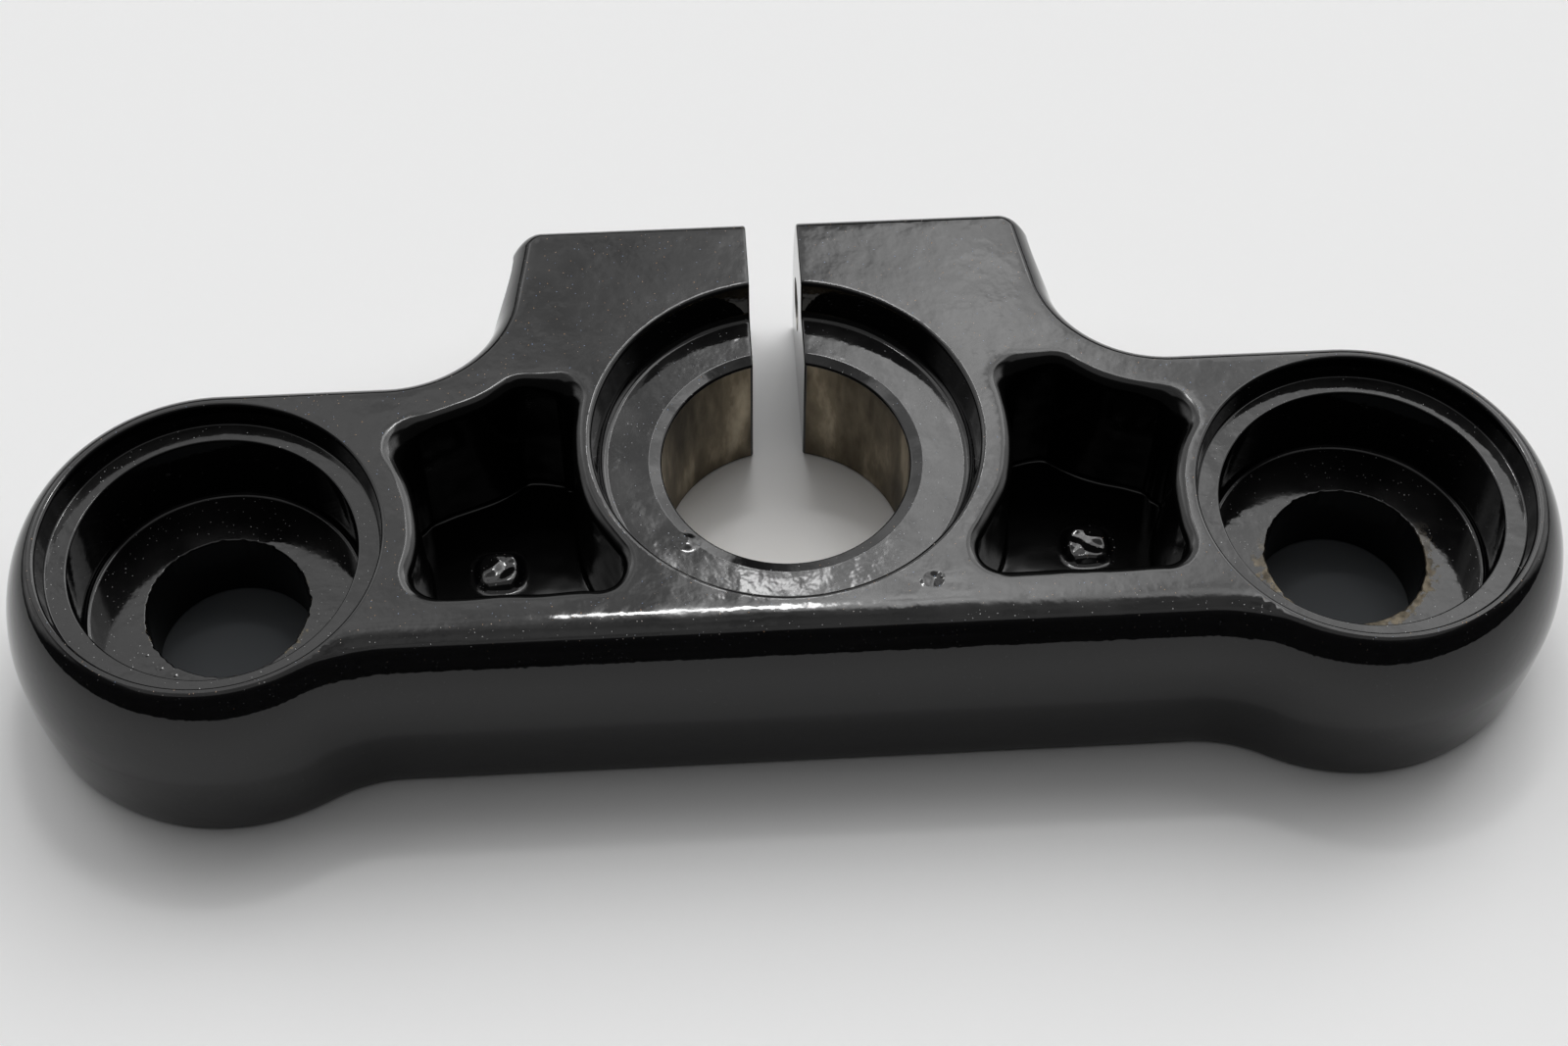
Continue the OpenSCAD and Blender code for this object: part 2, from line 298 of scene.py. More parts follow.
def distance(points, loops):
    """How far each point is from the nearest edge of the closed loops."""
    starts = np.vstack(loops)
    spans = np.vstack([np.roll(loop, -1, axis=0) for loop in loops]) - starts
    away = points[:, None] - starts
    share = np.clip((away * spans).sum(axis=2) / np.maximum((spans**2).sum(axis=1), 1e-12), 0, 1)
    return np.linalg.norm(away - share[..., None] * spans, axis=2).min(axis=1)


# Surfaces

class Casting:
    """Gathers surfaces as arrays of points, triangles and finishes."""

    def __init__(self):
        self.points, self.faces, self.finishes = [], [], []
        self.count = 0

    def triangles(self, points, faces, finish):
        self.points.append(points)
        self.faces.append(faces + self.count)
        self.finishes.append(np.broadcast_to(finish, len(faces)))
        self.count += len(points)

    def grid(self, points, finish=ENAMEL, closed=False):
        """A surface of rows and columns of points, each square of it as two triangles."""
        rows, columns = points.shape[:2]
        number = np.arange(rows * columns).reshape(rows, columns)
        if closed:
            number = np.hstack([number, number[:, :1]])
        a, b = number[:-1, :-1].ravel(), number[:-1, 1:].ravel()
        c, d = number[1:, 1:].ravel(), number[1:, :-1].ravel()
        faces = np.vstack([np.column_stack([a, b, c]), np.column_stack([a, c, d])])
        by_row = np.repeat(np.broadcast_to(finish, rows - 1), columns - 1 + closed)
        self.triangles(points.reshape(-1, 3), faces, np.tile(by_row, 2))

    def welded(self):
        """Points within a ten-thousandth of a millimetre become one, and empty faces go.

        The nudge keeps round lengths away from where rounding changes over.
        """
        points, faces = np.vstack(self.points), np.vstack(self.faces)
        finishes = np.concatenate(self.finishes)
        nudge = 0.3173
        _, first, number = np.unique(
            np.round(points * 1e4 + nudge).astype(np.int64), axis=0, return_index=True,
            return_inverse=True,
        )
        faces = number.ravel()[faces]
        whole = (faces != np.roll(faces, 1, axis=1)).all(axis=1)
        return points[first], faces[whole], finishes[whole]


def inside(spots, starts, ends):
    """Even-odd test: does a ray to the right of each spot cross the edges an odd number of times?"""
    x, y = spots[:, 0, None], spots[:, 1, None]
    (x0, y0), (x1, y1) = starts.T, ends.T
    crosses = (y0 > y) != (y1 > y)
    rise = np.where(y1 == y0, 1, y1 - y0)
    return ((x < x0 + (y - y0) / rise * (x1 - x0)) & crosses).sum(axis=1) % 2 == 1


def filled(loops, spacing):
    """Triangles over a flat region between closed loops, with inner points on a triangular grid."""
    border = np.vstack(loops)
    ends = np.vstack([np.roll(loop, -1, axis=0) for loop in loops])
    low, high = border.min(axis=0), border.max(axis=0)
    columns = np.arange(low[0], high[0], spacing)
    rows = np.arange(low[1], high[1], spacing * math.sqrt(0.75))
    x, y = np.meshgrid(columns, rows)
    x = x + spacing / 2 * (np.arange(len(rows)) % 2)[:, None]
    spots = np.column_stack([x.ravel(), y.ravel()])
    spots = spots[inside(spots, border, ends)]
    gap = ((spots[:, None] - border[None]) ** 2).sum(axis=2).min(axis=1)
    spots = spots[gap > (0.6 * spacing) ** 2]
    firsts = np.cumsum([0] + [len(loop) for loop in loops])
    edges = [
        (int(a + i), int(a + (i + 1) % (b - a)))
        for a, b in zip(firsts, firsts[1:]) for i in range(b - a)
    ]
    every = np.vstack([border, spots])
    corners, _, faces, origins, _, _ = delaunay_2d_cdt(
        [Vector(spot) for spot in every.tolist()], edges, [], 0, 1e-6
    )
    points = np.array([
        every[origin[0]] if origin else tuple(corner) for corner, origin in zip(corners, origins)
    ])
    faces = np.array(faces)
    return points, faces[inside(points[faces].mean(axis=1), border, ends)]


def at_height(points, z):
    return np.column_stack([points, np.broadcast_to(z, len(points))])


def lofted(outline, inset, z):
    """One ring of the outline per level, each moved in along its normals."""
    points, normals = outline
    rings = points[None] - inset[:, None, None] * normals[None]
    return np.dstack([rings, np.broadcast_to(z[:, None], rings.shape[:2])])


def turned(profile, centre, steps=144):
    """A (radius, height) profile turned once round the upright axis through centre."""
    angles = np.radians(np.arange(steps) * 360 / steps)
    radius = profile[:, :1]
    x = centre[0] + radius * np.cos(angles)
    y = centre[1] + radius * np.sin(angles)
    return np.dstack([x, y, np.broadcast_to(profile[:, 1:], x.shape)])


def turned_to_slit(profile, steps=180):
    """A profile turned round the stem axis from one edge of the slit clockwise to the other."""
    gap = np.arcsin(CUT_X / profile[:, :1])
    angles = math.pi / 2 - gap - np.linspace(0, 1, steps + 1) * (2 * math.pi - 2 * gap)
    x, y = profile[:, :1] * np.cos(angles), profile[:, :1] * np.sin(angles)
    return np.dstack([x, y, np.broadcast_to(profile[:, 1:], x.shape)])


def straight(start, end, gap=1.5):
    """Points from start to end, both with them, no more than gap apart."""
    start, end = np.asarray(start, float), np.asarray(end, float)
    count = max(1, math.ceil(np.linalg.norm(end - start) / gap))
    return start + np.linspace(0, 1, count + 1)[:, None] * (end - start)


def slit_side(section, side):
    """Rings that round the section's edge over into the slit's flat wall, and the wall's loop.

    Each ring is the section moved in by r (1 - cos t), at r (1 - sin t) from the wall.
    """
    tangent = np.roll(section, -1, axis=0) - np.roll(section, 1, axis=0)
    normal = np.column_stack([tangent[:, 1], -tangent[:, 0]])
    normal /= np.linalg.norm(normal, axis=1)[:, None]
    turns = np.radians(np.linspace(0, 90, 6))
    inset = SLIT_EDGE_R * (1 - np.cos(turns))
    rings = section[None] - inset[:, None, None] * normal[None]
    x = side * (SLIT_HALF + SLIT_EDGE_R * (1 - np.sin(turns)))
    return np.dstack([np.broadcast_to(x[:, None], rings.shape[:2]), rings]), rings[-1]


def pocket_surfaces(casting, side):
    """Adds one pocket to the casting and gives its upper rim.

    The walls move along their normals by a wave. The floor is a slope, plus a lump of the height
    that smooth() gives over a rounded square, topped by a wave.
    """
    points, normals = pocket_outline()
    points = points + WALL_WAVE * ripple(points, WALL_WAVE_SIZE, side)[:, None] * normals
    inset, z = pocket_levels()
    wall = lofted((points, normals), inset, z)
    depth = (HEIGHT - wall[..., 2]) / (HEIGHT - POCKET_FLOOR_Z)
    reach = np.linalg.norm(points[:, None] - WIDE_CORNERS, axis=2).min(axis=1)
    wide = smooth(1 - reach / WIDE_REACH)
    down = np.clip((HEIGHT - z) / POCKET_LIP_DEPTH, 0, 1)[:, None]
    wall[..., :2] -= (WIDE_LIP * np.sqrt(down * (2 - down)) * wide)[..., None] * normals
    wall[..., 2] -= WIDE_LIP_DEPTH * down * (1 - depth) * wide
    wall[..., 2] -= depth * FLOOR_SLOPE * (wall[..., 1] - FLOOR_LEVEL_Y)
    wall = wall * [side, 1, 1] + [CORE_SHIFT, 0, 0]
    casting.grid(wall, POCKET_ENAMEL, closed=True)

    floor, faces = filled([wall[-1, :, :2]], 0.6)
    away = np.abs(floor - (LUMP * [side, 1] + [CORE_SHIFT, 0])) / LUMP_R
    rise = smooth(LUMP_STEEPNESS * (1 - (away**3).sum(axis=1) ** (1 / 3)))
    level = FLOOR_SLOPE * (floor[:, 1] - LUMP[1])
    lump = rise * (LUMP_HEIGHT + level + LUMP_WAVE * ripple(floor, LUMP_WAVE_SIZE, side + 3))
    z = POCKET_FLOOR_Z - FLOOR_SLOPE * (floor[:, 1] - FLOOR_LEVEL_Y) + lump
    # The lump takes the outer enamel; the rest of the floor takes the pocket enamel, with its painted
    # shade
    raised = rise[faces].max(axis=1) > 0
    casting.triangles(at_height(floor, z), faces, np.where(raised, ENAMEL, POCKET_ENAMEL))
    return wall[0, :, :2]


def frayed(wall, profile, centre, seed):
    """Nicks the upper edge of a cap hole: its radius grows by the positive part of five sines."""
    out = wall[..., :2] - centre
    out /= np.linalg.norm(out, axis=2)[..., None]
    angle = np.arctan2(out[0, :, 1], out[0, :, 0])
    counts = np.array([5, 11, 19, 31, 47])
    nicks = np.clip(np.sin(angle[:, None] * counts + counts * seed).sum(axis=1), 0, None)
    near = np.exp(-(((profile - [CAP_HOLE_R, CUP_FLOOR_Z]) / NICK_REACH) ** 2).sum(axis=1))
    wall[..., :2] += NICK * (near[:, None] * nicks)[..., None] * out
    return wall


def sag(points, edge, holes):
    """How far the top face lies below its level: a parabola to the front edge, none at holes."""
    front = smooth((points[:, 1] - SAG_NONE_Y) / (SAG_FULL_Y - SAG_NONE_Y))
    room = smooth(distance(points, holes) / SAG_ROOM) * front
    return SAG * room * np.clip(1 - distance(points, [edge]) / SAG_WIDTH, 0, 1) ** 2


def casting_surfaces():
    """All surfaces of the casting but the pinch bolt's hole, welded into one closed mesh."""
    casting = Casting()
    skin = lofted(body_outline(), *side_levels())

    cup = rounded([
        (30.25, HEIGHT, 0), (SEAT_MOUTH_R, HEIGHT, 0.65), (SEAT_R, SEAT_Z, 0.35),
        (CUP_R, SEAT_Z, 0.4), (CUP_R, CUP_FLOOR_Z, 1), (CAP_HOLE_R, CUP_FLOOR_Z, 0.35),
        (CAP_HOLE_R, 9.5, 0), (CAP_HOLE_R, 0, 0.5), (15.2, 0, 0),
    ])
    # Below the cup floor the cap hole's wall takes the pocket enamel, with its painted shade
    cup_finish = np.where(
        (cup[:-1, 0] < CAP_HOLE_R + 0.01) & (cup[:-1, 1] > 9) & (cup[1:, 1] < CUP_FLOOR_Z - 0.3),
        POCKET_ENAMEL, ENAMEL,
    )
    stem = rounded([
        (35.4, HEIGHT, 0), (RECESS_MOUTH_R, HEIGHT, 0.9), (RECESS_FLOOR_R, RECESS_Z, 1.6),
        (LIP_R, RECESS_Z, 1.0), (STEM_R, LIP_Z, 0.55), (STEM_R, 0, 0.55), (23, 0, 0),
    ])
    stem_finish = np.where(np.maximum(stem[:-1, 0], stem[1:, 0]) < STEM_R + 0.01, RAW, ENAMEL)
    stem_wall = turned_to_slit(stem)
    casting.grid(stem_wall, stem_finish)

    top_holes, under_holes = [], []
    for side in (1, -1):
        centre = FORK * [side, 1]
        cup_wall = frayed(turned(cup, centre, 288), cup, centre, side)
        casting.grid(cup_wall, cup_finish, closed=True)
        top_holes.append(cup_wall[0, :, :2])
        under_holes.append(cup_wall[-1, :, :2])
        top_holes.append(pocket_surfaces(casting, side))

    holes = [stem_wall[0, :, :2]] + top_holes
    drop = sag(skin[-1, :, :2], skin[-1, :, :2], holes)
    high = skin[..., 2] > SAG_ABOVE
    skin[..., 2] -= high * drop * (skin[..., 2] - SAG_ABOVE) / (HEIGHT - SAG_ABOVE)
    casting.grid(skin)

    faces_up, faces_down = (skin[-1], 0, top_holes, 1.3), (skin[0], -1, under_holes, 3)
    for ring, row, loops, spacing in (faces_up, faces_down):
        edge = stem_wall[row, :, :2]
        right = straight(ring[-1, :2], edge[0])
        left = straight(edge[-1], ring[0, :2])
        loop = np.vstack([ring[:-1, :2], right[:-1], edge[:-1], left[:-1]])
        points, faces = filled([loop] + loops, spacing)
        z = HEIGHT - sag(points, ring[:, :2], holes) if row == 0 else 0
        casting.triangles(at_height(points, z), faces, ENAMEL)

    top_y, under_y = skin[-1, -1, 1], skin[0, -1, 1]
    section = np.vstack([
        straight((stem_wall[0, 0, 1], HEIGHT), (top_y, HEIGHT))[:-1],
        skin[::-1, -1, 1:][:-1],
        straight((under_y, 0), (stem_wall[-1, 0, 1], 0))[:-1],
        stem_wall[::-1, 0, 1:][:-1],
    ])[::-1]
    for side in (1, -1):
        rings, loop = slit_side(section, side)
        casting.grid(rings, closed=True)
        points, faces = filled([loop], 2.5)
        wall = np.column_stack([np.full(len(points), side * SLIT_HALF), points])
        casting.triangles(wall, faces, ENAMEL)
    return casting.welded()


def new_mesh(name, points, faces, finishes=None):
    mesh = bpy.data.meshes.new(name)
    mesh.from_pydata((points * MM).tolist(), [], faces.tolist())
    if finishes is not None:
        mesh.polygons.foreach_set("material_index", finishes.astype(np.int32))
    mesh.validate()
    piece = bpy.data.objects.new(name, mesh)
    bpy.context.scene.collection.objects.link(piece)
    return piece


def outward(piece):
    """Turns all faces of a closed mesh outwards."""
    shape = bmesh.new()
    shape.from_mesh(piece.data)
    bmesh.ops.recalc_face_normals(shape, faces=shape.faces)
    shape.to_mesh(piece.data)
    shape.free()


def drilled(piece):
    """Cuts the pinch bolt's hole through the ears, with the two spot faces; the tool ends in air."""
    end_x = 62
    profile = rounded([
        (0, -end_x, 0), (SPOT_FACE_R, -end_x, 0), (SPOT_FACE_R, -SPOT_FACE_X, 0.3),
        (BOLT_R, -SPOT_FACE_X, 0.25), (BOLT_R, SPOT_FACE_X, 0.25),
        (SPOT_FACE_R, SPOT_FACE_X, 0.3), (SPOT_FACE_R, end_x, 0), (0, end_x, 0),
    ])
    drill = Casting()
    about_x = turned(profile, (0, 0), 72)[..., [2, 0, 1]] + [0, *BOLT_AXIS]
    drill.grid(about_x, MILLED, closed=True)
    tool = new_mesh("drill", *drill.welded())
    outward(tool)
    cut = piece.modifiers.new("drill", "BOOLEAN")
    cut.operation, cut.solver, cut.object = "DIFFERENCE", "EXACT", tool
    graph = bpy.context.evaluated_depsgraph_get()
    mesh = bpy.data.meshes.new_from_object(piece.evaluated_get(graph))
    piece.modifiers.clear()
    piece.data = mesh
    bpy.data.objects.remove(tool)


def make_casting():
    piece = new_mesh("clamp_casting", *casting_surfaces())
    outward(piece)
    drilled(piece)
    piece.data.shade_smooth()
    piece.data.set_sharp_from_angle(angle=math.radians(50))
    even = piece.modifiers.new("even_normals", "WEIGHTED_NORMAL")
    even.keep_sharp = True
    even.weight = 100
    return piece


# Materials

def linear(hex_colour):
    """An sRGB colour such as "8a7f66" as linear red, green, blue and 1."""
    srgb = np.array([int(hex_colour[i:i + 2], 16) / 255 for i in (0, 2, 4)])
    return (*np.where(srgb <= 0.04045, srgb / 12.92, ((srgb + 0.055) / 1.055) ** 2.4), 1)


def add(tree, kind, inputs=None, **settings):
    """Adds a node, sets its properties, and gives each input a value or links it to a socket."""
    node = tree.nodes.new("ShaderNode" + kind)
    for name, value in settings.items():
        setattr(node, name, value)
    for key, value in (inputs or {}).items():
        if isinstance(value, bpy.types.NodeSocket):
            tree.links.new(value, node.inputs[key])
        else:
            node.inputs[key].default_value = value
    return node


def new_material(name):
    material = bpy.data.materials.new(name)
    material.use_nodes = True
    material.node_tree.nodes.clear()
    return material, material.node_tree


def millimetres(tree):
    """Object coordinates in millimetres, so that a noise's scale is one over its size."""
    place = add(tree, "TexCoord")
    return add(tree, "VectorMath", {0: place.outputs["Object"], "Scale": 1 / MM},
               operation="SCALE").outputs["Vector"]


def between(tree, value, low, high):
    """0 where the value is at low or below, 1 at high or above, smooth in between."""
    return add(tree, "MapRange", {"Value": value, "From Min": low, "From Max": high},
               interpolation_type="SMOOTHSTEP").outputs["Result"]


def result(tree, operation, *values):
    """What a Math node makes of the values or sockets."""
    return add(tree, "Math", dict(enumerate(values)), operation=operation).outputs[0]


def product(tree, a, b):
    return result(tree, "MULTIPLY", a, b)


def noise(tree, place, size, detail=2.0, roughness=0.5):
    """Noise with features of that size in millimetres."""
    return add(tree, "TexNoise", {"Vector": place, "Scale": 1 / size, "Detail": detail,
                                  "Roughness": roughness}).outputs["Fac"]


def dust_specks(tree, place, cell, size, share):
    """Round specks of about that radius, one in a share of the cells, and a tint for each."""
    cells = add(tree, "TexVoronoi", {"Vector": place, "Scale": 1 / cell})
    tint = add(tree, "SeparateColor", {"Color": cells.outputs["Color"]})
    radius = result(tree, "MULTIPLY_ADD", tint.outputs["Green"], size / cell, 0.5 * size / cell)
    near = result(tree, "LESS_THAN", cells.outputs["Distance"], radius)
    chosen = result(tree, "LESS_THAN", tint.outputs["Red"], share)
    return product(tree, near, chosen), tint.outputs["Blue"]


def ramp(tree, value, stops):
    """A colour ramp through (place, hex colour) stops."""
    node = add(tree, "ValToRGB", {"Fac": value})
    elements = node.color_ramp.elements
    while len(elements) < len(stops):
        elements.new(0.5)
    for element, (position, colour) in zip(elements, stops):
        element.position, element.color = position, linear(colour)
    return node.outputs["Color"]


def from_cap_hole(tree, place):
    """Distance from the nearer cap hole's axis in millimetres."""
    part = add(tree, "SeparateXYZ", {"Vector": place})
    aside = result(tree, "ABSOLUTE", part.outputs["X"])
    across = add(tree, "CombineXYZ", {"X": aside, "Y": part.outputs["Y"]})
    return add(tree, "VectorMath", {0: across.outputs[0], 1: (*FORK, 0)},
               operation="DISTANCE").outputs["Value"]


def worn_by_cap_hole(tree, place):
    """1 where paint has flaked off round a cap hole's upper edge, on its front half.

    Flakes are where a noise, less with each millimetre from the edge and a little more to the
    right of the part, is over a half.
    """
    fading, rightward, everywhere = 0.085, 0.0008, 0.06
    part = add(tree, "SeparateXYZ", {"Vector": place})
    flakes = noise(tree, place, 2.4, 6, 0.75)
    favour = result(tree, "MULTIPLY_ADD", part.outputs["X"], rightward, everywhere)
    favoured = result(tree, "ADD", flakes, favour)
    loss = result(tree, "MULTIPLY_ADD", from_cap_hole(tree, place), -fading, fading * CAP_HOLE_R)
    flaked = between(tree, result(tree, "ADD", favoured, loss), 0.5, 0.56)
    in_cup = result(tree, "LESS_THAN", part.outputs["Z"], CUP_FLOOR_Z + 1)
    front = between(tree, part.outputs["Y"], FORK[1] + 8, FORK[1] - 4)
    return product(tree, product(tree, flaked, in_cup), front)


# Place, radius and rise of flaws: a pit with its rim in front of the recess, a swelling on the
# recess floor and three pimples in the left cup
ENAMEL_FLAWS = [
    ((23.1, -32.5, HEIGHT), 2.0, -0.2),
    ((21.6, -33.1, HEIGHT), 1.1, 0.06),
    ((24.4, -31.9, HEIGHT), 0.8, 0.07),
    ((-18.2, -17.0, RECESS_Z), 2.6, 0.2),
    ((-111.0, -30.0, CUP_FLOOR_Z), 0.9, 0.08),
    ((-108.4, -31.6, CUP_FLOOR_Z), 0.8, 0.08),
    ((-113.6, -27.2, CUP_FLOOR_Z), 0.7, 0.07),
]


def gloss_black_enamel():
    """Gloss black enamel over a casting: a deep mirror with slow waves, a fine orange peel, a
    thin grey haze where dust settles on faces that look up, pale, blue and ochre specks, and
    bare alloy where it has flaked off round the cap holes."""
    material, tree = new_material("gloss_black_enamel")
    place = millimetres(tree)
    upward = between(tree, add(tree, "SeparateXYZ", {
        "Vector": add(tree, "NewGeometry").outputs["Normal"]}).outputs["Z"], 0.75, 0.98)
    cloud = between(tree, noise(tree, place, 14, 4, 0.6), 0.35, 0.75)
    calm = add(tree, "MapRange", {"Value": upward, "To Min": 0.35}).outputs["Result"]
    waves = add(tree, "Bump", {"Height": noise(tree, place, 9, 2), "Distance": 0.11 * MM,
                               "Strength": calm})
    peel = add(tree, "Bump", {"Height": noise(tree, place, 1.3, 1), "Distance": 0.013 * MM,
                              "Strength": 1.0, "Normal": waves.outputs[0]})
    for spot, width, rise in ENAMEL_FLAWS:
        away = add(tree, "VectorMath", {0: place, 1: spot}, operation="DISTANCE")
        swell = between(tree, away.outputs["Value"], width, 0)
        peel = add(tree, "Bump", {"Height": swell, "Distance": rise * MM, "Strength": 1.0,
                                  "Normal": peel.outputs[0]})
    roughness = add(tree, "MapRange", {"Value": product(tree, upward, cloud),
                                       "To Min": 0.05, "To Max": 0.13}).outputs["Result"]
    enamel = add(tree, "BsdfPrincipled", {
        "Base Color": linear("070708"), "Roughness": roughness, "IOR": 1.45,
        "Normal": peel.outputs[0],
    })
    haze = add(tree, "BsdfDiffuse", {"Color": linear("9a9896")})
    haze_share = product(tree, upward, add(tree, "MapRange", {
        "Value": cloud, "To Min": 0.008, "To Max": 0.03}).outputs["Result"])
    hazed = add(tree, "MixShader", {0: haze_share, 1: enamel.outputs[0], 2: haze.outputs[0]})

    specks, hue = dust_specks(tree, place, 0.72, 0.07, 0.6)
    dust = add(tree, "BsdfDiffuse", {"Color": ramp(tree, hue, [
        (0, "8fa6d0"), (0.2, "d6d6d6"), (0.8, "d6d6d6"), (1, "d0a070")])})
    lying = add(tree, "MapRange", {"Value": upward, "To Min": 0.06, "To Max": 0.6})
    dusty = add(tree, "MixShader", {0: product(tree, specks, lying.outputs["Result"]),
                                    1: hazed.outputs[0], 2: dust.outputs[0]})

    grain = add(tree, "Bump", {"Height": noise(tree, place, 0.6, 4), "Distance": 0.05 * MM,
                               "Strength": 1.0})
    bare = add(tree, "BsdfPrincipled", {
        "Base Color": ramp(tree, noise(tree, place, 1.5, 4), [(0.3, "3f3a32"), (0.7, "7a7264")]),
        "Roughness": 0.6, "Metallic": 1.0, "Normal": grain.outputs[0],
    })
    worn = add(tree, "MixShader", {0: worn_by_cap_hole(tree, place), 1: dusty.outputs[0],
                                   2: bare.outputs[0]})
    add(tree, "OutputMaterial", {"Surface": worn.outputs[0]})
    return material


def pocket_enamel():
    """The same enamel inside the pockets and cap holes: thinner, duller and less even, and a little
    darker in colour as painted shade in these hollows.
    """
    material, tree = new_material("pocket_enamel")
    place = millimetres(tree)
    wrinkles = add(tree, "Bump", {"Height": noise(tree, place, 6, 1), "Distance": 0.15 * MM,
                                  "Strength": 1.0})
    enamel = add(tree, "BsdfPrincipled", {
        # The base colour, a touch darker than the enamel outside, is painted shade in the hollows
        "Base Color": linear("060606"), "Roughness": 0.14, "IOR": 1.45,
        "Normal": wrinkles.outputs[0],
    })
    add(tree, "OutputMaterial", {"Surface": enamel.outputs[0]})
    return material


def raw_alloy():
    """Bare cast alloy, oxidised to a brownish olive, with lighter rubbed zones."""
    material, tree = new_material("raw_oxidised_alloy")
    place = millimetres(tree)
    streaks = add(tree, "VectorMath", {0: place, 1: (1, 1, 0.3)}, operation="MULTIPLY")
    patches = between(tree, noise(tree, streaks.outputs[0], 9, 6, 0.55), 0.3, 0.72)
    colour = ramp(tree, patches, [(0, "453e32"), (0.6, "857b69"), (1, "c4b8a2")])
    grain = add(tree, "Bump", {"Height": noise(tree, place, 0.5, 3), "Distance": 0.03 * MM,
                               "Strength": 1.0})
    surface = add(tree, "BsdfPrincipled", {
        "Base Color": colour, "Roughness": 0.5, "Metallic": 1.0,
        "Normal": grain.outputs[0],
    })
    add(tree, "OutputMaterial", {"Surface": surface.outputs[0]})
    return material


def milled_alloy():
    """The bright milled seats and bore of the pinch bolt."""
    material, tree = new_material("milled_alloy")
    place = millimetres(tree)
    marks = add(tree, "Bump", {"Height": noise(tree, place, 0.8, 3), "Distance": 0.01 * MM,
                               "Strength": 1.0})
    surface = add(tree, "BsdfPrincipled", {
        "Base Color": linear("b4b2ac"), "Roughness": 0.35, "Metallic": 1.0,
        "Normal": marks.outputs[0],
    })
    add(tree, "OutputMaterial", {"Surface": surface.outputs[0]})
    return material


# The stage

def make_floor():
    """A pale table, with a dark patch under each cap hole that shows only through it: painted shade
    under the part, together with the darker tone of the table the part stood on.
    """
    half, shade_patch_r = 3000, 30
    corners = np.array([[-half, -half, 0], [half, -half, 0], [half, half, 0], [-half, half, 0]])
    piece = new_mesh("floor", corners, np.array([[0, 1, 2, 3]]))
    material, tree = new_material("pale_table")
    # Painted shade: the floor is given a dark colour just where the cap holes look down on it
    shade_patch = result(tree, "LESS_THAN", from_cap_hole(tree, millimetres(tree)), shade_patch_r)
    colour = add(tree, "Mix", {0: shade_patch, 6: linear("f8f8f8"), 7: linear("4c4e50")},
                 data_type="RGBA")
    paper = add(tree, "BsdfDiffuse", {"Color": colour.outputs[2]})
    add(tree, "OutputMaterial", {"Surface": paper.outputs[0]})
    piece.data.materials.append(material)


def toward(azimuth, elevation):
    """A direction; azimuth 0 is behind the part and 90 is on its right."""
    a, e = math.radians(azimuth), math.radians(elevation)
    return Vector((math.sin(a) * math.cos(e), math.cos(a) * math.cos(e), math.sin(e)))


def window(tree, direction, azimuth, elevation, half_width, half_height, soft):
    """1 inside a bright rectangle of the room, 0 outside; its sizes are tangents from its middle."""
    middle = toward(azimuth, elevation)
    across = toward(azimuth + 90, 0)
    upright = middle.cross(across)
    facing, x, y = (
        add(tree, "VectorMath", {0: direction, 1: axis}, operation="DOT_PRODUCT").outputs["Value"]
        for axis in (middle, across, upright)
    )
    mask = result(tree, "GREATER_THAN", facing, 0.1)
    for part, half in ((x, half_width), (y, half_height)):
        tangent = result(tree, "ABSOLUTE", result(tree, "DIVIDE", part, facing))
        mask = product(tree, mask, between(tree, tangent, half + soft, half - soft))
    return mask


# Azimuth, elevation, half width, half height, softness and radiance of the room's bright parts
ROOM = [
    (-21, 46, 0.36, 0.40, 0.08, 1.5),
    (28.5, 46, 0.27, 0.40, 0.03, 2.9),
    (12, 50, 0.035, 0.30, 0.02, 1.5),
    (4.2, 54.2, 0.013, 0.026, 0.008, 20.0),
    (0, 88, 0.55, 0.44, 0.08, 0.55),
    (58, 28, 0.45, 0.35, 0.2, 1.6),
    (-58, 28, 0.45, 0.35, 0.2, 1.1),
]
ROOM_DARK = 0.04


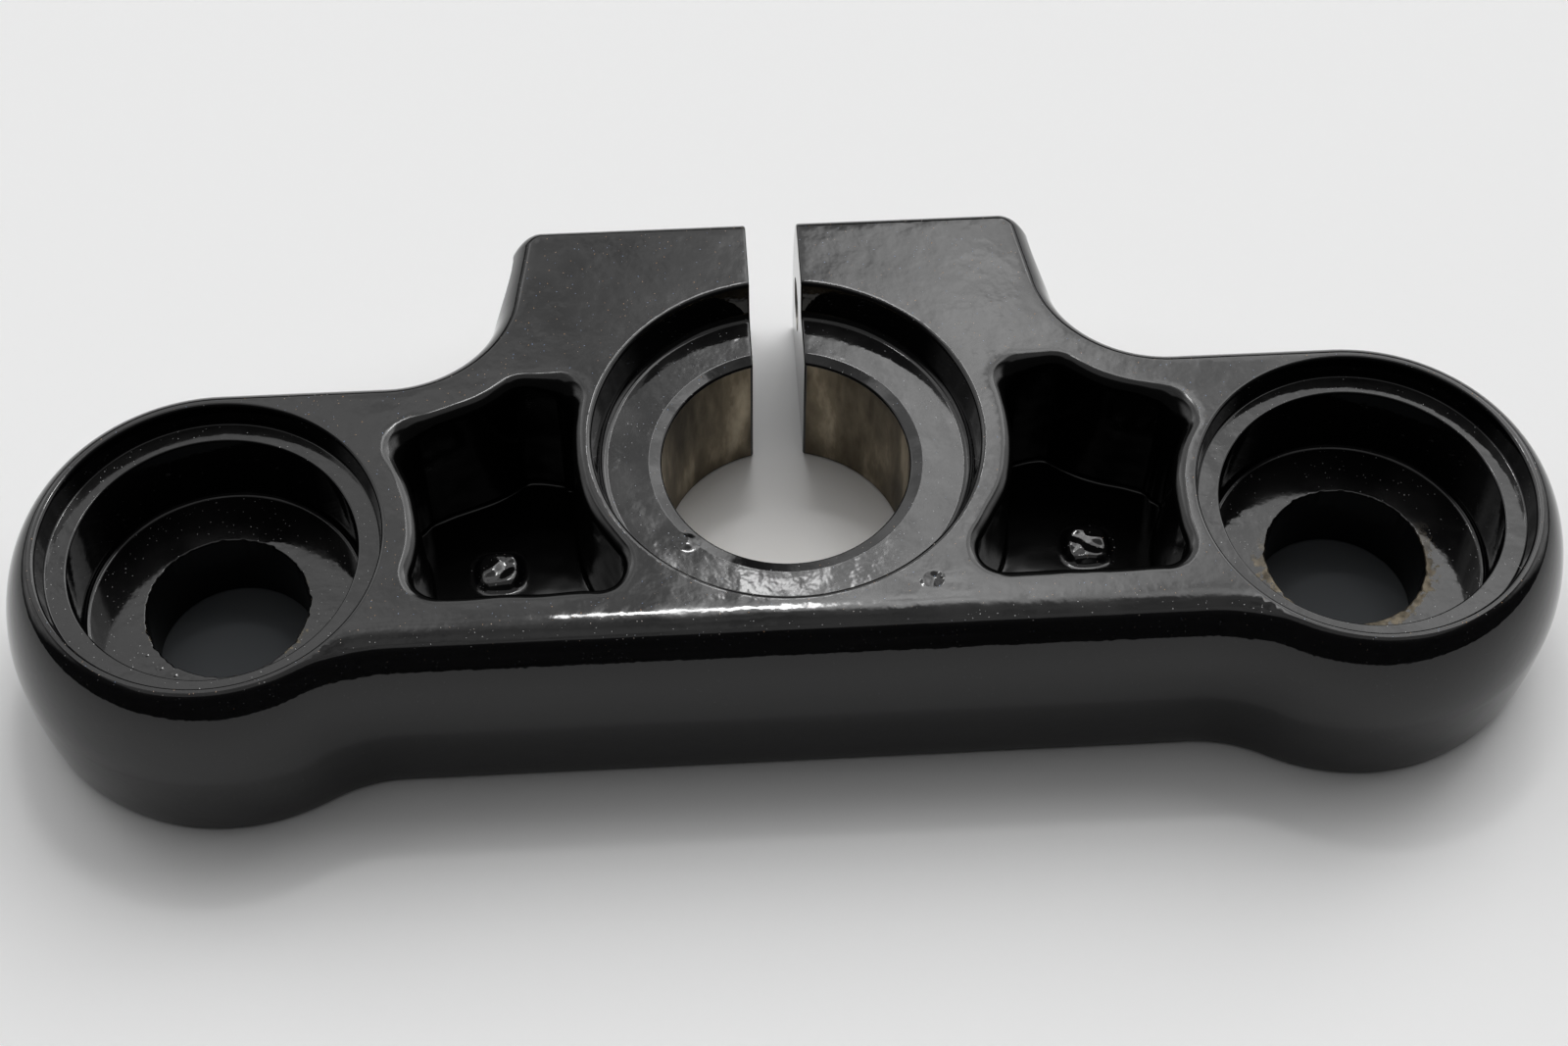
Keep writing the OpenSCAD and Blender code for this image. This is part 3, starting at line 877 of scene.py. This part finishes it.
def make_world():
    """A dark room with soft bright rectangles, which the enamel mirrors, all a little patchy."""
    world = bpy.data.worlds.new("studio")
    world.use_nodes = True
    bpy.context.scene.world = world
    tree = world.node_tree
    tree.nodes.clear()
    direction = add(tree, "TexCoord").outputs["Generated"]
    patchy = add(tree, "TexNoise", {"Vector": direction, "Scale": 12.0, "Detail": 2.0})
    uneven = add(tree, "MapRange", {"Value": patchy.outputs["Fac"], "From Min": 0.35,
                                    "From Max": 0.65, "To Min": 0.7, "To Max": 1.3})
    total = ROOM_DARK
    for *where, radiance in ROOM:
        total = result(tree, "MULTIPLY_ADD", window(tree, direction, *where), radiance, total)
    light = product(tree, total, uneven.outputs["Result"])
    room = add(tree, "Background", {"Color": (1, 1, 1, 1), "Strength": light})
    add(tree, "OutputWorld", {"Surface": room.outputs[0]})


def make_lamp(name, azimuth, elevation, size, radiance, distance=1.3):
    """A rectangular lamp that faces the part. Its power is pi x area x radiance."""
    lamp = bpy.data.lights.new(name, "AREA")
    lamp.shape = "RECTANGLE"
    lamp.size, lamp.size_y = size
    lamp.energy = math.pi * size[0] * size[1] * radiance
    holder = bpy.data.objects.new(name, lamp)
    holder.location = distance * toward(azimuth, elevation)
    holder.rotation_euler = (-holder.location).to_track_quat("-Z", "Y").to_euler()
    bpy.context.scene.collection.objects.link(holder)


CAMERA_PLACE = Vector((-20.15, -282.8, 410.4)) * MM
CAMERA_AIM = Vector((-1.56, -19.56, 36.0)) * MM
CAMERA_ROLL = 0.745
CAMERA_LENS = 61.16


def make_camera():
    """The photograph's camera, solved from the part's circles."""
    camera = bpy.data.objects.new("camera", bpy.data.cameras.new("camera"))
    camera.data.sensor_width, camera.data.lens = 36, CAMERA_LENS
    camera.data.clip_start = 0.01
    camera.location = CAMERA_PLACE
    camera.rotation_mode = "QUATERNION"
    level = (CAMERA_AIM - CAMERA_PLACE).to_track_quat("-Z", "Y")
    camera.rotation_quaternion = level @ Quaternion((0, 0, 1), math.radians(CAMERA_ROLL))
    bpy.context.scene.collection.objects.link(camera)
    bpy.context.scene.camera = camera


bpy.context.scene.view_settings.view_transform = "Standard"
make_camera()
make_floor()
make_world()
make_lamp("overhead_lamp", -1, 64, (0.17, 0.05), 38.0)

casting = make_casting()
for material in (gloss_black_enamel(), pocket_enamel(), raw_alloy(), milled_alloy()):
    casting.data.materials.append(material)
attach(casting, "root")
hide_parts("clamp_body")
